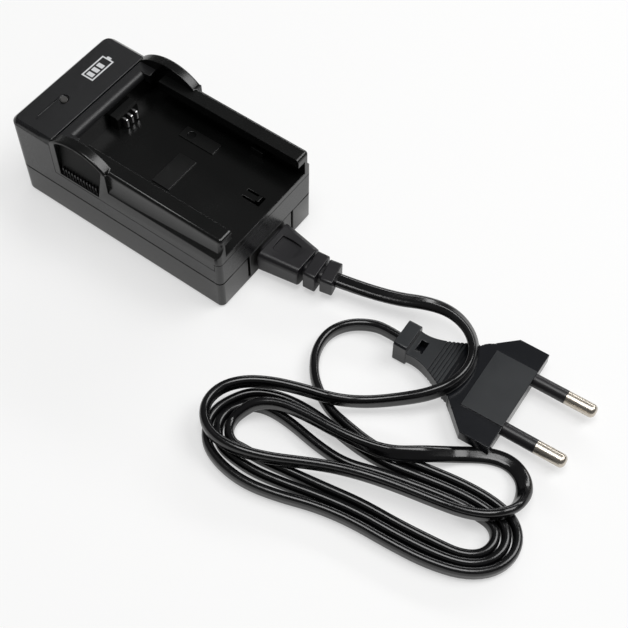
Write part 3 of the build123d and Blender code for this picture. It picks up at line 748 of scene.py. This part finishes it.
# First turn: round the left end on top, back through the middle, round the right end and over to the left
FIRST_TURN = [
    (83.5, -31.0, 7.4),
    (76.0, -33.4, 7.8),
    (68.0, -36.6, 7.8),
    (61.6, -40.8, 7.8),
    (57.8, -46.2, 7.8),
    (57.4, -52.2, 7.8),
    (60.6, -57.0, 7.8),
    (66.4, -59.2, 7.8),
    (73.4, -58.5, 7.8),
    (81.3, -55.4, 7.5),
    (89.0, -50.8, 6.8),
    (96.6, -46.8, 6.6),
    (105.2, -44.0, 7.4),
    (114.4, -41.1, 6.4),
    (123.4, -38.8, 5.6),
    (131.6, -37.2, 6.6),
    (138.0, -34.2, 7.6),
    (141.8, -29.1, 7.4),
    (141.4, -22.8, 4.2),
    (139.0, -18.4, 2.6),
    (135.4, -16.1, 1.7),
    (132.0, -15.6, 1.5),
    (128.2, -16.6, 1.5),
    (124.6, -18.6, 1.5),
    (120.6, -21.6, 1.7),
    (117.1, -25.2, 3.7),
    (113.1, -29.5, 6.2),
    (107.3, -34.9, 7.8),
    (100.4, -37.0, 7.8),
    (91.0, -38.4, 7.8),
    (81.6, -39.0, 7.6),
    (73.4, -40.5, 7.4),
    (68.4, -43.7, 6.8),
    (66.0, -47.0, 4.4),
]

# Middle one of the three turns that lie on the floor, with the step from one turn to the next outer one
FLOOR_TURN = [
    ((62.0, -50.4), (-2.9, -0.4)),
    ((63.2, -54.8), (-2.8, -1.2)),
    ((66.8, -58.2), (-2.6, -2.3)),
    ((72.0, -59.1), (-0.9, -3.7)),
    ((79.4, -59.0), (0.0, -4.1)),
    ((88.0, -57.1), (0.6, -3.7)),
    ((97.6, -54.5), (0.6, -2.8)),
    ((108.0, -52.4), (0.2, -2.8)),
    ((119.0, -51.6), (0.2, -2.8)),
    ((130.0, -50.2), (0.6, -2.8)),
    ((138.7, -47.9), (2.1, -1.7)),
    ((144.0, -43.1), (2.8, -0.3)),
    ((144.8, -36.6), (2.9, 0.8)),
    ((141.0, -32.0), (2.4, 2.0)),
    ((134.4, -31.2), (1.4, 2.8)),
    ((126.6, -31.8), (-0.2, 2.8)),
    ((117.0, -33.8), (-0.2, 2.9)),
    ((106.6, -36.3), (0.2, 3.2)),
    ((97.4, -36.8), (0.0, 6.0)),
    ((88.0, -35.7), (0.0, 7.0)),
    ((78.6, -35.4), (0.0, 6.0)),
    ((70.4, -36.8), (-0.6, 4.6)),
    ((64.2, -40.0), (-1.8, 3.4)),
    ((61.0, -45.0), (-2.4, 1.6)),
]

# Height at which those turns lie, and how many points of the outer one are laid before the tail
FLOOR_HEIGHT = 2.65
LAST_POINT = 18

# Tail from the hank round to the plug
TAIL_ROUTE = [
    (99.6, -33.9, 2.65),
    (91.4, -33.0, 2.65),
    (84.6, -31.9, 2.65),
    (78.2, -28.6, 2.9),
    (73.6, -24.4, 2.9),
    (70.2, -18.6, 2.9),
    (69.6, -12.0, 3.0),
    (72.4, -6.4, 3.0),
    (77.4, -2.7, 3.2),
    (82.7, -1.5, 4.0),
    (90.0, -1.8, 3.97),
]

# Roll of the cord in degrees, by metres from the connector: flat at its start and under the plug
ROLL_KEYS = [
    (0.0, 0.0),
    (0.022, 8.0),
    (0.06, 78.0),
    (0.1, 90.0),
    (0.222, 90.0),
    (0.243, 10.0),
    (0.26, 10.0),
    (0.298, 90.0),
]


def cord_route():
    """The cord's control points in metres, from the connector to the plug."""
    turns = []
    for step in (-1, 0, 1):
        count = LAST_POINT if step == 1 else len(FLOOR_TURN)
        for (x, y), (across, along) in FLOOR_TURN[:count]:
            turns.append((x + step * across, y + step * along, FLOOR_HEIGHT))
    route = LEAD_ROUTE + FIRST_TURN + turns + TAIL_ROUTE
    return [Vector(point) * MM for point in route]


def smooth_line(points):
    """Points along the NURBS spline that has these control points."""
    curve = bpy.data.curves.new("cord_route", "CURVE")
    curve.dimensions = "3D"
    curve.resolution_u = SPLINE_STEPS
    spline = curve.splines.new("NURBS")
    spline.points.add(len(points) - 1)
    for knot, point in zip(spline.points, points):
        knot.co = (*point, 1.0)
    spline.order_u = SPLINE_ORDER
    spline.use_endpoint_u = True
    guide = bpy.data.objects.new("cord_route", curve)
    line = bpy.data.meshes.new_from_object(guide)
    places = [vert.co.copy() for vert in line.vertices]
    bpy.data.objects.remove(guide)
    bpy.data.curves.remove(curve)
    bpy.data.meshes.remove(line)
    return places


def keyed(keys, place):
    """A value eased between keys."""
    for (start, first), (end, second) in zip(keys, keys[1:]):
        if place < end:
            share = (place - start) / (end - start)
            share = share * share * (3 - 2 * share)
            return first + (second - first) * share
    return keys[-1][1]


def cord_section(cord):
    """The flat cord's section, as places across its width and through its thickness."""
    section = []
    for i in range(cord.sides):
        turn = 2 * pi * i / cord.sides
        bulge = abs(sin(turn)) ** SECTION_FULLNESS * (1 if sin(turn) > 0 else -1)
        waist = 1 - cord.groove * exp(-((cos(turn) / GROOVE_WIDTH) ** 2))
        section.append((cord.width / 2 * cos(turn), bulge * cord.thickness / 2 * waist))
    return section


def cord_axes(line, i, travelled):
    """The directions of the cord's width and thickness at one point of its line."""
    ahead = (line[min(i + 1, len(line) - 1)] - line[max(i - 1, 0)]).normalized()
    side = ahead.cross(Vector((0, 0, 1))).normalized()
    rise = side.cross(ahead)
    roll = radians(keyed(ROLL_KEYS, travelled))
    return side * cos(roll) + rise * sin(roll), rise * cos(roll) - side * sin(roll)


def next_ring(shape, ring):
    """Extrudes the last ring of a sweep and gives the new ring's vertices in the same order."""
    edges = [shape.edges.get(pair) for pair in zip(ring, ring[1:] + ring[:1])]
    grown = bmesh.ops.extrude_edge_only(shape, edges=edges)["geom"]
    fresh = {item for item in grown if isinstance(item, bmesh.types.BMVert)}
    return [next(e.other_vert(v) for e in v.link_edges if e.other_vert(v) in fresh) for v in ring]


class CHARGER_OT_lay_cord(bpy.types.Operator):
    """Lay the flat cord from the connector, round its loose turns, to the plug"""

    bl_idname = "charger.lay_cord"
    bl_label = "Cord"

    def execute(self, context):
        cord = context.scene.charger_cord
        line = smooth_line(cord_route())
        section = cord_section(cord)
        shape = bmesh.new()
        circle = bmesh.ops.create_circle(shape, cap_ends=False, radius=cord.width / 2, segments=cord.sides)
        ring = circle["verts"]
        travelled = 0.0
        for i, place in enumerate(line):
            if i:
                ring = next_ring(shape, ring)
                travelled += (place - line[i - 1]).length
            wide, thin = cord_axes(line, i, travelled)
            for vert, (across, through) in zip(ring, section):
                vert.co = place + wide * across + thin * through
        ends = [edge for edge in shape.edges if edge.is_boundary]
        bmesh.ops.holes_fill(shape, edges=ends, sides=cord.sides)
        bmesh.ops.recalc_face_normals(shape, faces=shape.faces)
        piece = new_piece("mains_cord", shape, jacket("cord_jacket", cord.colour))
        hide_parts("cord_lead", "cord_hank", "cord_tail")
        return {"FINISHED"}


class CHARGER_OT_set_stage(bpy.types.Operator):
    """Set the floor, the lamps and the camera"""

    bl_idname = "charger.set_stage"
    bl_label = "Stage"

    def execute(self, context):
        stage = context.scene.charger_stage
        self.lay_floor(context, stage)
        self.light_sky(context, stage)
        self.hang_lamps(context, stage)
        self.place_camera(context, stage)
        context.scene.view_settings.view_transform = "Standard"
        return {"FINISHED"}

    def lay_floor(self, context, stage):
        shape = bmesh.new()
        bmesh.ops.create_grid(shape, x_segments=1, y_segments=1, size=stage.floor_size / 2)
        mesh = bpy.data.meshes.new("floor")
        shape.to_mesh(mesh)
        shape.free()
        floor = bpy.data.objects.new("floor", mesh)
        context.scene.collection.objects.link(floor)
        set_material(floor, self.floor_paper(stage))

    def floor_paper(self, stage):
        """Pale paper, a share of which shows as plain white to the camera and in reflections."""
        make = Finish("floor_paper")
        fibre = make.noise(make.place(), FIBRE_SIZE, detail=3.0)
        colour = make.mix(fibre * FIBRE_SHARE, stage.floor_colour, shade(stage.floor_colour, FIBRE_SHADE))
        paper = make.surface({"Base Color": colour, "Roughness": 0.8, "Specular IOR Level": 0.1})
        white = make.add("Emission", None, {"Color": WHITE, "Strength": 1.0})
        seen = make.rays("Camera").most(make.rays("Transmission"))
        seen = seen.most(make.rays("Glossy") * stage.mirrored_glow)
        return make.finish(make.add("MixShader", None, {0: seen * stage.floor_glow, 1: paper, 2: white}))

    def light_sky(self, context, stage):
        world = bpy.data.worlds.new("studio")
        make = Nodes(world)
        strength = make.rays("Camera") * (stage.sky_seen - stage.sky) + stage.sky
        sky = make.add("Background", None, {"Color": WHITE, "Strength": strength})
        make.add("OutputWorld", None, {"Surface": sky})
        context.scene.world = world

    def hang_lamps(self, context, stage):
        powers = {"key": stage.key_power, "back": stage.back_power, "top": stage.top_power}
        for name, (place, size) in LAMPS.items():
            lamp = bpy.data.lights.new(name + "_lamp", "AREA")
            lamp.shape = "RECTANGLE"
            lamp.size, lamp.size_y = size
            lamp.energy = powers[name]
            holder = bpy.data.objects.new(name + "_lamp", lamp)
            holder.location = place
            aim = LAMP_AIM - holder.location
            holder.rotation_euler = aim.to_track_quat("-Z", "Y").to_euler()
            context.scene.collection.objects.link(holder)

    def place_camera(self, context, stage):
        camera = bpy.data.cameras.new("camera")
        camera.sensor_width = SENSOR_WIDTH
        camera.lens = stage.lens
        camera.clip_start = NEAREST_SEEN
        holder = bpy.data.objects.new("camera", camera)
        tilt = Matrix.Rotation(pi / 2 - stage.elevation, 4, "X") @ Matrix.Rotation(stage.roll, 4, "Z")
        turn = Matrix.Rotation(stage.azimuth, 4, "Z")
        holder.matrix_world = Matrix.Translation(stage.camera_place) @ turn @ tilt
        context.scene.collection.objects.link(holder)
        context.scene.camera = holder


OPERATORS = (
    CHARGER_OT_round_case,
    CHARGER_OT_round_cradle,
    CHARGER_OT_finish_metal,
    CHARGER_OT_finish_lamp,
    CHARGER_OT_finish_board,
    CHARGER_OT_round_connector,
    CHARGER_OT_round_plug,
    CHARGER_OT_lay_cord,
    CHARGER_OT_set_stage,
)


class CHARGER_PT_panel(bpy.types.Panel):
    """Lists the charger's pieces"""

    bl_idname = "CHARGER_PT_panel"
    bl_label = "Camera Battery Charger"
    bl_space_type = "VIEW_3D"
    bl_region_type = "UI"
    bl_category = "Charger"

    def draw(self, context):
        for operator in OPERATORS:
            self.layout.operator(operator.bl_idname)


SETTINGS = {
    "charger_case": CaseSettings,
    "charger_cord": CordSettings,
    "charger_plug": PlugSettings,
    "charger_stage": StageSettings,
}


def register():
    for name, group in SETTINGS.items():
        bpy.utils.register_class(group)
        setattr(bpy.types.Scene, name, PointerProperty(type=group))
    for operator in OPERATORS:
        bpy.utils.register_class(operator)
    bpy.utils.register_class(CHARGER_PT_panel)


def unregister():
    bpy.utils.unregister_class(CHARGER_PT_panel)
    for operator in reversed(OPERATORS):
        bpy.utils.unregister_class(operator)
    for name, group in reversed(SETTINGS.items()):
        delattr(bpy.types.Scene, name)
        bpy.utils.unregister_class(group)


def main():
    register()
    bpy.ops.charger.round_case()
    bpy.ops.charger.round_cradle()
    bpy.ops.charger.finish_metal()
    bpy.ops.charger.finish_lamp()
    bpy.ops.charger.finish_board()
    bpy.ops.charger.round_connector()
    bpy.ops.charger.round_plug()
    bpy.ops.charger.lay_cord()
    bpy.ops.charger.set_stage()


if __name__ == "__main__":
    main()
